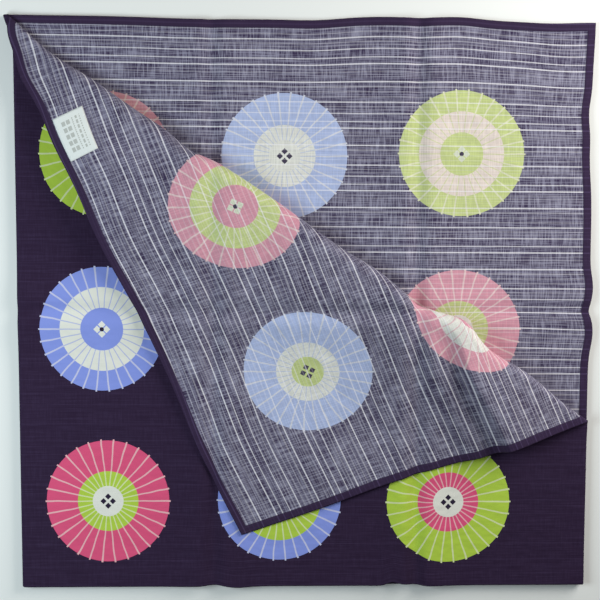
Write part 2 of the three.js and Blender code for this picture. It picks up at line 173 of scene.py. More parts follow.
class Folding:
    """Where each thread point (u, v) of the cloth lies, in millimetres.

    The quarter with u and v above zero lies on top, front up. It goes round the bottom fold into
    the quarter below (v under zero), and both go round the left fold into the two lowest (u under
    zero). Beyond a slanting line the top quarter is rolled back over itself.
    """

    def __init__(self, side, pitch, sheet):
        self.half = side / 2
        self.pitch = pitch
        self.sheet = sheet
        self.bottom_radius = pitch / 2
        self.left_radius = pitch
        self.bottom_quarter = np.pi / 2 * self.bottom_radius
        self.left_quarter = np.pi / 2 * self.left_radius
        self.width = self.half - self.left_quarter
        self.height = self.half - self.bottom_quarter
        self.stack = 3 * pitch
        line = np.array([self.half - TURN_START, TURN_END - self.half])
        self.line_length = np.hypot(*line)
        self.along = line / self.line_length
        self.across = np.array([-self.along[1], self.along[0]])
        rim = np.subtract(RIM_END, RIM_START)
        rim = rim / np.hypot(*rim)
        self.rim_out = np.array([-rim[1], rim[0]])

    def on_table(self, across, up):
        """The place on the table: a four-cornered patch with waved right, top and bottom edges."""
        a, b = across / self.width, up / self.height
        x, y = (
            (BOTTOM_LEFT[i] * (1 - a) + BOTTOM_RIGHT[i] * a) * (1 - b)
            + (TOP_LEFT[i] * (1 - a) + TOP_RIGHT[i] * a) * b
            for i in (0, 1)
        )
        x = x + waves(RIGHT_EDGE, y) * smooth(1 + (across - self.width) / RIGHT_FADE)
        y = y + waves(TOP_EDGE, x) * smooth(1 + (up - self.height) / TOP_FADE)
        y = y - waves(BOTTOM_EDGE, x) * smooth(1 - up / BOTTOM_FADE)
        lean = bell((y - LEAN_Y) / LEAN_REACH) * smooth(1 - across / LEAN_FADE)
        return x - LEAN_OUT * lean, y

    def relief(self, x, y):
        """Lifts beside the storage creases, as bells with a narrower bell taken out."""

        def valley(d):
            return bell(d / CREASE_LIFT) * (1 - bell(d / CREASE_VALLEY))

        creases = sum(high * valley(x - at) for at, high in CREASES_X)
        creases = creases + sum(high * valley(y - at) for at, high in CREASES_Y)
        spring = bell((x - BOTTOM_LEFT[0]) / SPRING_REACH)
        spring = spring + bell((y - BOTTOM_LEFT[1]) / SPRING_REACH)
        return creases + SPRING_HIGH * np.minimum(1, spring)

    def fold_back(self, s, radius):
        """Two straight runs joined by half a circle: the way along them and the height."""
        quarter = np.pi / 2 * radius
        turning = np.abs(s) < quarter
        along = np.where(turning, -radius * np.cos(s / radius), np.abs(s) - quarter)
        up = np.where(turning, radius * np.sin(s / radius), np.sign(s) * radius)
        return along, up

    def layer(self, u, v):
        """One of the four stacked layers: the strip folded back in v, then in u."""
        along, up = self.fold_back(v, self.bottom_radius)
        bend = self.left_radius + up
        turn = np.clip(u / self.left_radius, -np.pi / 2, np.pi / 2)
        flat = np.abs(u) >= self.left_quarter
        across = np.where(flat, np.abs(u) - self.left_quarter, -bend * np.cos(turn))
        x, y = self.on_table(across, along)
        share = np.where(u < 0, np.abs(u * v) / self.half**2, 0)
        x = x + share * np.where(v < 0, THIRD_SHORT[0], LOWEST_SHORT[0])
        y = y + share * np.where(v < 0, THIRD_SHORT[1], LOWEST_SHORT[1])
        level = bend * np.sin(turn) + self.stack / 2
        z = level + self.relief(x, y) * level / self.stack + self.sheet / 2
        return np.stack([x, y, z], -1)

    def from_line(self, u, v):
        """How far along the turned-back corner's fold line a thread point is, and across it."""
        du, dv = u - TURN_START, v - self.half
        along = du * self.along[0] + dv * self.along[1]
        across = du * self.across[0] + dv * self.across[1]
        return along, across

    def line_thread(self, along, across):
        """The thread point at a place along and across that line."""
        u = TURN_START + self.along[0] * along + self.across[0] * across
        v = self.half + self.along[1] * along + self.across[1] * across
        return u, v

    def roll_axis(self, along):
        """The roll's axis on the table: a straight line with waves, one radius inside the rim."""
        out = waves(RIM_WAVES, along) - read_table(ROLL, along)
        share = along / self.line_length
        x = RIM_START[0] + (RIM_END[0] - RIM_START[0]) * share + self.rim_out[0] * out
        y = RIM_START[1] + (RIM_END[1] - RIM_START[1]) * share + self.rim_out[1] * out
        return x, y

    def turned_place(self, u, v):
        """The turned-back cloth as it lies: a slanted frame from its corner."""
        a, b = self.half - u, self.half - v
        to_ridge = self.half - RIDGE_V
        run = TAKE_UP * np.minimum(b, to_ridge) + RIDGE_TAKE_UP * np.maximum(0, b - to_ridge)
        return [CORNER[i] + TOWARDS_START[i] * a + TOWARDS_END[i] * run for i in (0, 1)]

    def hem_waves(self, u, v, beyond):
        """How far the two turned-back hems wave out, dying away towards the roll."""
        hem_away = (self.half - v) * self.across[1]
        grown = smooth((u - RIGHT_HEM_FROM) / (RIGHT_HEM_FULL - RIGHT_HEM_FROM))
        top = waves(TOP_HEM_WAVES, u) * smooth(beyond / (beyond + hem_away + 1))
        right = waves(RIGHT_HEM_WAVES, v) * grown * smooth(beyond / ROLL_FADE)
        return [-TOWARDS_END[i] * top - TOWARDS_START[i] * right for i in (0, 1)]

    def turned_height(self, u, v):
        """The height of the turned-back cloth: what is left of the roll, lifts and a ridge."""
        along, across = self.from_line(u, v)
        radius = read_table(ROLL, along)
        beyond = np.maximum(0, across - np.pi / 2 * radius)
        roll = (2 * radius - self.pitch) * (1 - smooth(beyond / SETTLE))
        lifts = sum(
            high * bell((u - at_u) / reach_u) * bell((v - at_v) / reach_v)
            for at_u, at_v, reach_u, reach_v, high in LIFTS
        )
        side = np.where(v > RIDGE_V, (v - RIDGE_V) / RIDGE_STEEP, (RIDGE_V - v) / RIDGE_GENTLE)
        grown = smooth((u - RIDGE_FROM) / (RIDGE_FULL - RIDGE_FROM))
        ridge = RIDGE_HIGH * np.exp(1 - np.hypot(1, side))
        ridge = ridge + SHOULDER_HIGH * bell((v - SHOULDER_V) / SHOULDER_REACH)
        return self.pitch + roll + smooth(beyond / ROLL_FADE) * lifts + grown * ridge

    def under(self, u, v, along, beyond):
        """The top layer under the turned-back corner, drawn towards the roll."""
        place = self.layer(u, v)
        axis = np.stack(self.roll_axis(along), -1)
        met = self.layer(*self.line_thread(along, -np.pi / 2 * read_table(ROLL, along)))
        pull = 1 - smooth(beyond / read_table(UNDER_GIVE, along))
        x, y = (place[..., :2] + (axis - met[..., :2]) * pull[..., None]).T
        return np.stack([x, y, self.stack + self.relief(x, y) + self.sheet / 2], -1)

    def drawn_to_roll(self, along, beyond):
        """How far the turned-back corner is moved on the table to meet the roll."""
        axis = np.stack(self.roll_axis(along), -1)
        tangent = self.line_thread(along, np.pi / 2 * read_table(ROLL, along))
        met = np.stack(self.turned_place(*tangent), -1)
        pull = 1 - smooth(beyond / OVER_GIVE)
        return (axis - met) * pull[..., None]

    def over(self, u, v, along, beyond):
        """The turned-back corner: its slanted frame, drawn to the roll, with the hems' waves."""
        place = np.stack(self.turned_place(u, v), -1) + self.drawn_to_roll(along, beyond)
        x, y = (place + np.stack(self.hem_waves(u, v, beyond), -1)).T
        z = self.stack + self.relief(x, y) + self.sheet / 2 + self.turned_height(u, v)
        return np.stack([x, y, z], -1)

    def rolled(self, along, across):
        """The roll: half a turn, as high as the turned-back cloth where that leaves it."""
        radius = read_table(ROLL, along)
        x, y = self.roll_axis(along)
        out = radius * np.cos(across / radius)
        height = self.turned_height(*self.line_thread(along, np.pi / 2 * radius))
        risen = height * (1 + np.sin(across / radius)) / 2
        z = self.stack + self.relief(x, y) + self.sheet / 2 + risen
        return np.stack([x + self.rim_out[0] * out, y + self.rim_out[1] * out, z], -1)

    def point(self, u, v):
        """The middle of the sheet at flat arrays of thread points."""
        along, across = self.from_line(u, v)
        quarter = np.pi / 2 * read_table(ROLL, along)
        turned = (u > TURN_START) & (v > TURN_END / 2)
        under = turned & (across <= -quarter)
        over = turned & (across >= quarter)
        roll = turned & ~under & ~over
        place = self.layer(u, v)
        below = -across[under] - quarter[under]
        place[under] = self.under(u[under], v[under], along[under], below)
        above = across[over] - quarter[over]
        place[over] = self.over(u[over], v[over], along[over], above)
        place[roll] = self.rolled(along[roll], across[roll])
        return place

    def unturned(self, place):
        """The thread point that the slanted frame puts at a place on the table."""
        a, run = np.linalg.solve(np.array([TOWARDS_START, TOWARDS_END]).T, (place - CORNER).T)
        to_ridge = self.half - RIDGE_V
        past = run - TAKE_UP * to_ridge
        b = np.where(past < 0, run / TAKE_UP, to_ridge + past / RIDGE_TAKE_UP)
        return self.half - a, self.half - b

    def woven(self, u, v):
        """The thread points as the stripes and the print take them.

        The stripes stay straight on the turned-back corner, so what the roll draws along there is
        taken out again, and the stripes' own drift is put in.
        """
        along, across = self.from_line(u, v)
        radius = read_table(ROLL, along)
        quarter = np.pi / 2 * radius
        turned = (u > TURN_START) & (v > TURN_END / 2) & (across > -quarter)
        on_roll = across < quarter
        at_u, at_v = self.line_thread(along, quarter)
        at_u, at_v = np.where(on_roll, at_u, u), np.where(on_roll, at_v, v)
        place = np.stack(self.turned_place(at_u, at_v), -1)
        moved = place + self.drawn_to_roll(along, np.maximum(0, across - quarter))
        straight_u, straight_v = self.unturned(moved)
        turn = np.clip(across / radius, -np.pi / 2, np.pi / 2)
        share = np.where(turned, (1 + np.sin(turn)) / 2, 0)
        line = self.half + self.along[1] / self.along[0] * (u - TURN_START)
        wider = WIDER * (v - np.maximum(line + WIDER_FROM_LINE, WIDER_FROM_V))
        drift = sum(
            out * bell((u - at_u) / reach_u) * bell((v - at_v) / reach_v)
            for at_u, at_v, reach_u, reach_v, out in DRIFT
        )
        return u + share * (straight_u - at_u), v + share * (straight_v - at_v + wider) + drift

    def to_hem(self, u, v):
        """Thread points whose distance from the hems along v is as it lies on the table."""
        edge = np.sign(v) * self.half
        there = self.point(u, edge)[:, :2] - self.point(u, v)[:, :2]
        away = np.linalg.norm(there, axis=1)
        near = np.abs(v) > self.half - HEM_NEAR
        return u, np.where(near, edge - np.sign(v) * away, v)

    def front(self, u, v, step=0.05):
        """The way the front faces: the cross product of the surface's steps in u and in v."""
        limit = self.half
        left, right = np.maximum(u - step, -limit), np.minimum(u + step, limit)
        below, above = np.maximum(v - step, -limit), np.minimum(v + step, limit)
        du = self.point(right, v) - self.point(left, v)
        dv = self.point(u, above) - self.point(u, below)
        normal = np.cross(du, dv)
        return normal / np.linalg.norm(normal, axis=1, keepdims=True)


# How the cloth's grid is cut.
COLUMNS, ROWS, LOWER_COLUMNS, ROLL_ROWS = 144, 126, 8, 20
LEFT_TURN_MARKS, BOTTOM_TURN_MARKS = 11, 9  # round the left and the bottom fold
LABEL_COLUMNS, LABEL_ROWS = 24, 16
SPREAD_STEPS = 2001  # fine steps from which spread marks are chosen
DENSE = [(175, 16, 1.6), (359, 16, 1.6), (255, 14, 2.0)]  # where marks stand closer
ROLL_ROOM = 0.3  # near its start the roll's rows keep within this share of the way from it
TURN_FAN = (0.6, 1.5, 3.0)  # close columns where the roll begins
WELD = 0.002  # thread points closer than this are one
LIP = 0.8  # a row or column stands this far from the edge
RIM_PAST = 0.45  # how far the round rim passes the edge, as a share of the thickness there
LABEL_GAP, LABEL_THICK = 0.15, 0.35  # the label's clearance over the cloth and its thickness


def spread(low, high, count, dense=()):
    """`count` marks from low to high that stand closer where `dense` has a bell."""
    at = np.linspace(low, high, SPREAD_STEPS)
    share = np.cumsum(np.ones(len(at)) + waves(dense, at))
    share = share - share[0]
    return np.interp(np.linspace(0, share[-1], count), share, at)


def weld(grids):
    """Turns grids of thread points into one list of points and one of triangles."""
    points = np.concatenate([grid.reshape(-1, 2) for grid in grids])
    keys = np.round(points / WELD).astype(np.int64)
    _, first, same = np.unique(keys, axis=0, return_index=True, return_inverse=True)
    same = same.reshape(-1)
    triangles = []
    start = 0
    for grid in grids:
        count = grid.shape[0] * grid.shape[1]
        ids = same[start : start + count].reshape(grid.shape[:2])
        start += count
        a, b, c, d = ids[:-1, :-1], ids[1:, :-1], ids[1:, 1:], ids[:-1, 1:]
        triangles += [np.stack([a, b, c], -1), np.stack([a, c, d], -1)]
    triangles = np.concatenate([t.reshape(-1, 3) for t in triangles])
    p, q, r = triangles.T
    return points[first], triangles[(p != q) & (q != r) & (r != p)]


def open_edges(triangles):
    """The directed edges that only one triangle has."""
    edges = triangles[:, [0, 1, 1, 2, 2, 0]].reshape(-1, 2)
    size = edges.max() + 1
    there = edges[:, 0] * size + edges[:, 1]
    back = edges[:, 1] * size + edges[:, 0]
    return edges[~np.isin(there, back)]


def sheet_mesh(name, grids, face, rim, maps):
    """A closed sheet over grids of thread points: a front face, a reverse face and a round rim.

    face(points, side) gives places in metres, with side 1 for the front and -1 for the reverse,
    and rim(points) gives the places of the rim's middle line. Each of the named maps turns thread
    points into the points of a UV map.
    """
    threads, triangles = weld(grids)
    edges = open_edges(triangles)
    border, where = np.unique(edges, return_inverse=True)
    count = len(threads)
    p, q = edges.T
    mid_p, mid_q = 2 * count + where.reshape(-1, 2).T
    rims = [(q, p, mid_p), (q, mid_p, mid_q)]
    rims += [(mid_q, mid_p, p + count), (mid_q, p + count, q + count)]
    reverse = triangles[:, ::-1] + count
    rim_faces = np.concatenate([np.stack(r, -1) for r in rims])
    faces = np.concatenate([triangles, reverse, rim_faces])
    places = np.concatenate([face(threads, 1), face(threads, -1), rim(threads[border])])
    mesh = bpy.data.meshes.new(name)
    mesh.from_pydata(places, [], faces)
    mesh.polygons.foreach_set("use_smooth", np.ones(len(faces), bool))
    slots = np.zeros(len(faces), np.int32)
    slots[len(triangles) : 2 * len(triangles)] = 1
    mesh.polygons.foreach_set("material_index", slots)
    for map_name, from_threads in maps.items():
        flat = from_threads(threads) * MM
        flat = np.concatenate([flat, flat, flat[border]])
        layer = mesh.uv_layers.new(name=map_name)
        layer.uv.foreach_set("vector", flat[faces.reshape(-1)].astype(np.float32).reshape(-1))
    mesh.update()
    return mesh


def cloth_grids(folding, hem):
    """The thread points of the whole cloth, as grids that share their border points."""
    half = folding.half
    hem_marks = half - np.array([hem + 1, hem, LIP, 0])
    left, bottom = folding.left_quarter, folding.bottom_quarter
    columns = spread(TURN_START, half, COLUMNS, DENSE[:2])
    columns = np.union1d(columns, [*hem_marks, *(TURN_START + np.array(TURN_FAN))])
    rows = np.union1d(spread(bottom, half, ROWS, DENSE[2:]), hem_marks)
    lower_columns = -np.union1d(spread(left, half, LOWER_COLUMNS), hem_marks)[::-1]
    left_turn = np.linspace(-left, left, LEFT_TURN_MARKS)
    bottom_turn = np.linspace(-bottom, bottom, BOTTOM_TURN_MARKS)
    every_row = np.concatenate([-rows[::-1], bottom_turn[1:-1], rows])
    slope = (TURN_END - half) / (half - TURN_START)
    line = half + slope * (columns - TURN_START)
    along, _ = folding.from_line(columns, line)
    quarter = np.pi / 2 * read_table(ROLL, along) / folding.across[1]
    reach = np.minimum(quarter, ROLL_ROOM * (columns - TURN_START))
    low, high = (line - reach)[:, None], (line + reach)[:, None]
    around = low + (high - low) * np.linspace(0, 1, ROLL_ROWS + 1)[1:-1]
    top = np.concatenate([np.minimum(rows, low), around, np.maximum(rows, high)], 1)
    top_rows = np.repeat(columns[:, None], top.shape[1], 1)

    def grid(across, up):
        return np.stack(np.meshgrid(across, up, indexing="ij"), -1)

    return [
        grid(np.concatenate([lower_columns[:-1], left_turn, [TURN_START]]), every_row),
        grid(columns, np.concatenate([-rows[::-1], bottom_turn[1:]])),
        np.stack([top_rows, top], -1),
    ]


class Value:
    """A socket in a node tree. Arithmetic on it adds Math nodes, which the tree keeps."""

    def __init__(self, tree, socket):
        self.tree = tree
        self.socket = socket

    def math(self, operation, *others):
        return node(self.tree, "ShaderNodeMath", {"operation": operation}, self, *others)

    def __add__(self, other):
        return self.math("ADD", other)

    __radd__ = __add__

    def __sub__(self, other):
        return self.math("SUBTRACT", other)

    def __rsub__(self, other):
        return (self * -1) + other

    def __mul__(self, other):
        return self.math("MULTIPLY", other)

    __rmul__ = __mul__

    def __truediv__(self, other):
        return self.math("DIVIDE", other)

    def __pow__(self, other):
        return self.math("POWER", other)

    def __lt__(self, other):
        return self.math("LESS_THAN", other)

    def __gt__(self, other):
        return self.math("GREATER_THAN", other)

    def __abs__(self):
        return self.math("ABSOLUTE")

    def __mod__(self, other):
        return self.math("FLOORED_MODULO", other)

    def floor(self):
        return self.math("FLOOR")

    def low(self, other):
        return self.math("MINIMUM", other)

    def high(self, other):
        return self.math("MAXIMUM", other)

    def step(self, start, end):
        """A smooth step: 0 at start, 1 at end."""
        settings = {"interpolation_type": "SMOOTHSTEP"}
        return node(self.tree, "ShaderNodeMapRange", settings, self, start, end, 0.0, 1.0)


def node(tree, kind, settings, *inputs, output=0):
    """Adds one node of that type with its settings and its first inputs, and returns an output."""
    added = tree.nodes.new(kind)
    for name, value in settings.items():
        setattr(added, name, value)
    sockets = [s for s in added.inputs if s.enabled]
    for socket, value in zip(sockets, inputs):
        if value is None:
            continue
        if isinstance(value, Value):
            tree.links.new(value.socket, socket)
        else:
            socket.default_value = value
    shown = [s for s in added.outputs if s.enabled]
    return Value(tree, shown[output])


def mix(factor, a, b):
    """A colour between a and b."""
    tree = next(value.tree for value in (factor, a, b) if isinstance(value, Value))
    return node(tree, "ShaderNodeMix", {"data_type": "RGBA"}, factor, a, b)


def paint(red, green, blue):
    """A colour given as it looks on a screen, from 0 to 255, as the light it sends back."""

    def light(part):
        part = part / 255
        return part / 12.92 if part <= 0.04045 else ((part + 0.055) / 1.055) ** 2.4

    return (light(red), light(green), light(blue), 1.0)


# The print: six rows of six parasols. Millimetres on the open cloth.
MOTIF_PITCH = 159.3
MOTIF_ROWS = 6
MOTIF_RADIUS = 56.5
RIBS = 30
RIB_PAST = 1.2  # how far the ribs pass the rim
RIB_HALF, RIB_HALF_MORE = 0.42, 0.36  # half a rib's width at the middle, and what the rim adds
RIB_WOBBLE = 0.22  # how unevenly the ribs stand, as a share of the way between two
PALE_RIB_THINNER, PALE_RIB_SHARE = 0.25, 0.6  # on pale rings ribs are thinner, and tinted this much
WIDE_RING, WIDE_DISK = 38.3, 19.5
NARROW_RING, NARROW_DISK = 27.9, 14.2
MARK_OFF, MARK_HALF = 4.3, 2.9  # the four diamonds: off the middle, half a diagonal
PETAL_OFF, PETAL_HALF = 4.2, 3.5
DOT = 2.0
# How far single parasols are printed off the grid: (column, row, right, up), counted from the
# middle of the cloth, the first ones on each side being 0 and -1.
SLIPS = [
    (0, 0, 0.9, 1.4),
    (0, 1, -2.7, 1.2),
    (1, 0, -0.5, 2.4),
    (2, 0, -4.4, 0.3),
    (1, -3, 3.9, -0.6),
    (2, -3, 4.0, -3.9),
    (2, -2, 2.2, -0.5),
    (0, -3, 3.7, 0.0),
    (1, 2, -8.3, -1.1),
    (2, 2, -4.4, -3.2),
    (2, 1, -12.5, -7.0),
]
SLIP_FULL, SLIP_END = 62, 79  # a slip holds this far from the parasol's middle, and ends here

# The stripes woven in white weft, over one repeat: (place, half-width, strength). The first one
# lies across the repeat's two ends.
STRIPE_REPEAT = 56.2
STRIPE_START = 25.0
STRIPES = [
    (0.0, 0.55, 1.0),
    (4.0, 0.4, 0.22),
    (6.8, 0.5, 0.22),
    (9.2, 0.35, 0.15),
    (11.2, 0.35, 0.15),
    (15.4, 0.55, 1.0),
    (19.6, 0.7, 0.35),
    (24.0, 0.45, 0.3),
    (28.4, 0.45, 0.3),
    (33.2, 0.5, 0.9),
    (37.0, 0.35, 0.3),
    (39.8, 0.35, 0.25),
    (43.2, 0.45, 0.85),
    (50.3, 0.45, 0.85),
]

# The cloth's colours as they look on a screen, on its printed front and on its reverse. The last
# row of each is how white the ribs are.
FRONT = {
    "ground": paint(44, 30, 54),
    "streak": paint(112, 96, 140),
    "lime": paint(176, 205, 74),
    "pink": paint(220, 86, 126),
    "blue": paint(134, 150, 224),
    "blush": paint(232, 200, 205),
    "white": paint(226, 226, 217),
    "petal": paint(228, 228, 220),
    "mark": paint(44, 36, 58),
    "rib_white": 0.45,
}
REVERSE = {
    "ground": paint(56, 46, 75),
    "streak": paint(160, 159, 181),
    "lime": paint(206, 218, 146),
    "pink": paint(222, 158, 174),
    "blue": paint(182, 196, 234),
    "blush": paint(238, 224, 214),
    "white": paint(234, 234, 226),
    "petal": paint(222, 228, 206),
    "mark": paint(72, 66, 84),
    "rib_white": 0.5,
}
STRIPE_WHITE = paint(236, 234, 240)
RIB_WHITE = paint(246, 240, 230)
LABEL_TAPE, LABEL_BAR = paint(228, 232, 230), paint(116, 116, 104)
FLOOR_COLOUR = paint(238, 240, 238)

# How fine each noise is along u and v.
WARP_SLUBS, WEFT_SLUBS, PATCHES = (0.9, 0.06), (0.03, 1.1), (0.03, 0.05)
PUCKERS, WRINKLES = (0.35, 0.35), (0.045, 0.06)
WOBBLE, TAPE_WEAVE = (0.05, 0.05), (2.5, 2.5)
NOISE_ROUGHNESS = 0.6

# The front's ground: how the two thread systems share its flecks, where these begin and are full,
# and how strong the flecks and the stripes are.
FLECK_WARP, FLECK_WEFT, FLECK_FROM, FLECK_FULL = 0.4, 0.6, 0.4, 0.75
FLECK_STRONG, FRONT_STRIPES = 0.12, 0.045
# The reverse's ground: where slubs begin and are full, how much each thread system covers, and how
# patchy it is.
SLUB_FROM, SLUB_FULL, WARP_COVER, WEFT_COVER, PATCHY = 0.42, 0.64, 0.56, 0.5, 0.55
SHOW_THROUGH = 0.26  # how much of the ground shows through the print on the reverse
# The stripes on the reverse: their least strength, what the warp's noise adds to it from a level
# on, and how much weaker they are over the print.
STRIPE_LEAST, STRIPE_NOISE, STRIPE_LEVEL, STRIPE_OVER_PRINT = 0.62, 0.5, 0.3, 0.25
HEM_FLECKS, HEM_STRIPES = 0.16, 0.22  # how strong both are on the hem
SEAM_SHADE_HALF, SEAM_SHADE_DARK = 0.35, 0.7  # half the width of the dark line along the hem's inner edge, partly its seam and partly painted shade of the groove there, and how dark it is
PUCKER_REACH = 14  # how far in from the edge the hem's puckers reach
# What the slubs, stripes, puckers and wrinkles count for in the bump.
SLUB_HIGH, STRIPE_HIGH, PUCKER_HIGH, WRINKLE_HIGH = 0.5, 0.2, 1.2, 13.0
BUMP_STRENGTH, CLOTH_BUMP, TAPE_BUMP = 0.3, 0.0004, 0.0002  # distances in metres
CLOTH_ROUGHNESS, CLOTH_SPECULAR = 0.9, 0.12
TAPE_ROUGHNESS, TAPE_SPECULAR = 0.75, 0.3
BAR_FAINT, BAR_WEAVE = 0.25, 0.45  # the label's bars: their least strength, and what the weave adds
FLOOR_ROUGHNESS = 0.8


def threads(tree, name):
    """The two thread coordinates of a UV map, in millimetres."""
    uv = node(tree, "ShaderNodeUVMap", {"uv_map": name})
    u = node(tree, "ShaderNodeSeparateXYZ", {}, uv)
    v = node(tree, "ShaderNodeSeparateXYZ", {}, uv, output=1)
    return u / MM, v / MM


def noise(u, v, finer, detail=3.0):
    """Noise of about one millimetre, divided along u and v by the two numbers in `finer`."""
    place = node(u.tree, "ShaderNodeCombineXYZ", {}, u * finer[0], v * finer[1], 0.0)
    return node(u.tree, "ShaderNodeTexNoise", {}, place, 1.0, detail, NOISE_ROUGHNESS)


def four_around(across, up, off, half):
    """1 within four diamonds around the middle."""
    across, up = abs(across), abs(up)
    return (abs(across - off) + up).low(across + abs(up - off)) < half


def parasols(u, v, colours, ground):
    """The parasol print over a ground colour, and where it is.

    Each cell of the grid has a disk with a ring, an inner disk and ribs. The ring and the inner
    disk are wide and narrow by turns, as on a chessboard. The outer colour goes round lime, pink
    and blue along rows and columns. Lime has a pink ring, or a blush one where it is wide, pink a
    lime ring and blue a white one, and on one diagonal in six pink and blue swap their rings. A
    narrow inner disk is white, or lime in the top row, and a wide one repeats the outer colour.
    """
    column = (u / MOTIF_PITCH).floor()
    row = (v / MOTIF_PITCH).floor()
    du = u - (column + 0.5) * MOTIF_PITCH
    dv = v - (row + 0.5) * MOTIF_PITCH
    radius = (du * du + dv * dv) ** 0.5
    turn = (column + row + 1) % 3
    wide = (column - row) % 2
    swapped = abs((column - row) % 6 - 1) < 0.5
    pink_turn = abs(turn - 1) < 0.5
    blue_turn = turn > 1.5
    lime_turn = turn < 0.5
    first = mix(blue_turn, mix(pink_turn, colours["lime"], colours["pink"]), colours["blue"])
    second = mix(lime_turn, colours["white"], mix(wide, colours["pink"], colours["blush"]))
    lime_second = abs(pink_turn - swapped * (1 - lime_turn))
    second = mix(lime_second, second, colours["lime"])
    top_row = abs(row - 2) < 0.5
    third = mix(wide, mix(top_row, colours["white"], colours["lime"]), first)
    ring_edge = NARROW_RING + wide * (WIDE_RING - NARROW_RING)
    disk_edge = NARROW_DISK + wide * (WIDE_DISK - NARROW_DISK)
    in_disk = (radius - disk_edge) < 0
    in_ring = (radius - ring_edge) < 0
    wobble = (noise(u, v, WOBBLE, 1.0) - 0.5) * RIB_WOBBLE
    sector = dv.math("ARCTAN2", du) * (RIBS / math.tau) + 0.5 + wobble
    from_rib = abs(sector - sector.floor() - 0.5) * radius * (math.tau / RIBS)
    pale_ring = in_ring * (1 - lime_second) * (1 - lime_turn * (1 - wide))
    rib_half = RIB_HALF + RIB_HALF_MORE * (radius / MOTIF_RADIUS)
    rib_half = rib_half * (1 - PALE_RIB_THINNER * pale_ring)
    on_rib = ((from_rib - rib_half) < 0) * (1 - in_disk)
    colour = mix(in_ring, first, second)
    rib = mix(colours["rib_white"], mix(in_ring, first, second), RIB_WHITE)
    rib = mix(pale_ring, rib, mix(PALE_RIB_SHARE, second, first))
    colour = mix(on_rib, colour, rib)
    colour = mix(in_disk, colour, third)
    colour = mix(four_around(du, dv, MARK_OFF, MARK_HALF) * (1 - wide), colour, colours["mark"])
    petals = four_around(du, dv, PETAL_OFF, PETAL_HALF)
    colour = mix(petals * wide, colour, colours["petal"])
    colour = mix((radius < DOT) * wide, colour, colours["mark"])
    inside = (radius < MOTIF_RADIUS).high((radius < MOTIF_RADIUS + RIB_PAST) * on_rib)
    inside = inside * (abs(column + 0.5).high(abs(row + 0.5)) < MOTIF_ROWS / 2)
    return mix(inside, ground, colour), inside


def stripe(v):
    """How much of the white stripes there is at v: a colour ramp over one repeat."""
    share = ((v - STRIPE_START) / STRIPE_REPEAT) % 1
    ramp = node(v.tree, "ShaderNodeValToRGB", {}, share)
    stops = ramp.socket.node.color_ramp
    stops.interpolation = "CONSTANT"
    marks = [(0.0, 1.0), (STRIPES[0][1], 0.0)]
    for place, half_width, strength in STRIPES[1:]:
        marks += [(place - half_width, strength), (place + half_width, 0.0)]
    marks += [(STRIPE_REPEAT - STRIPES[0][1], 1.0)]
    while len(stops.elements) > 1:
        stops.elements.remove(stops.elements[-1])
    for at, strength in marks:
        element = stops.elements.new(at / STRIPE_REPEAT) if at else stops.elements[0]
        element.color = (strength, strength, strength, 1.0)
    return ramp


def cloth_material(name, colours, hem_colours, half, hem):
    """Printed slub cotton: its front, or its reverse with the stripes and the hem.

    On the reverse the ground shows between the slubs of both thread systems, and the stripes are
    weaker where the print lies over them. The bump is the slubs and stripes, with puckers along
    the hem and small wrinkles. The front is given no hem colours, because the hem is turned in on
    the reverse.
    """
    material = bpy.data.materials.new(name)
    material.use_nodes = True
    tree = material.node_tree
    shader = tree.nodes["Principled BSDF"]
    u, v = threads(tree, "woven")
    print_u, print_v = threads(tree, "print")
    hem_u, hem_v = threads(tree, "hem")
    from_edge = half - abs(hem_u).high(abs(hem_v))
    warp = noise(u, v, WARP_SLUBS)
    weft = noise(u, v, WEFT_SLUBS)
    patch = noise(u, v, PATCHES, 2.0)
    lines = stripe(v)
    if hem_colours is None:
        fleck = (warp * FLECK_WARP + weft * FLECK_WEFT).step(FLECK_FROM, FLECK_FULL)
        streaks = fleck * FLECK_STRONG + lines * FRONT_STRIPES
        ground = mix(streaks, colours["ground"], colours["streak"])
        colour, _ = parasols(print_u, print_v, colours, ground)
    else:
        gaps = 1 - warp.step(SLUB_FROM, SLUB_FULL) * WARP_COVER
        gaps = gaps * (1 - weft.step(SLUB_FROM, SLUB_FULL) * WEFT_COVER)
        cross = 1 - gaps + (patch - 0.5) * PATCHY
        ground = mix(cross, colours["ground"], colours["streak"])
        colour, inside = parasols(print_u, print_v, colours, ground)
        colour = mix(inside * (1 - cross) * SHOW_THROUGH, colour, colours["ground"])
        uneven = STRIPE_LEAST + (warp - STRIPE_LEVEL).high(0) * STRIPE_NOISE
        white = lines * uneven * (1 - STRIPE_OVER_PRINT * inside)
        colour = mix(white, colour, STRIPE_WHITE)
        on_hem = from_edge < hem
        # The dark line at the hem's inner edge: partly its seam, partly painted shade in the groove
        # there.
        seam_and_shade = abs(from_edge - hem) < SEAM_SHADE_HALF
        streaks = warp * HEM_FLECKS + lines * HEM_STRIPES
        turned_in = mix(streaks, hem_colours["ground"], hem_colours["streak"])
        colour = mix(on_hem, colour, turned_in)
        colour = mix(seam_and_shade * SEAM_SHADE_DARK, colour, hem_colours["mark"])
    tree.links.new(colour.socket, shader.inputs["Base Color"])
    shader.inputs["Roughness"].default_value = CLOTH_ROUGHNESS
    shader.inputs["Specular IOR Level"].default_value = CLOTH_SPECULAR
    puckers = noise(u, v, PUCKERS, 1.0) * from_edge.step(PUCKER_REACH, 0)
    wrinkles = noise(u, v, WRINKLES, 2.0)
    height = warp * SLUB_HIGH + weft * SLUB_HIGH + lines * STRIPE_HIGH
    height = height + puckers * PUCKER_HIGH + wrinkles * WRINKLE_HIGH
    bump = node(tree, "ShaderNodeBump", {}, BUMP_STRENGTH, CLOTH_BUMP, None, height)
    tree.links.new(bump.socket, shader.inputs["Normal"])
    return material


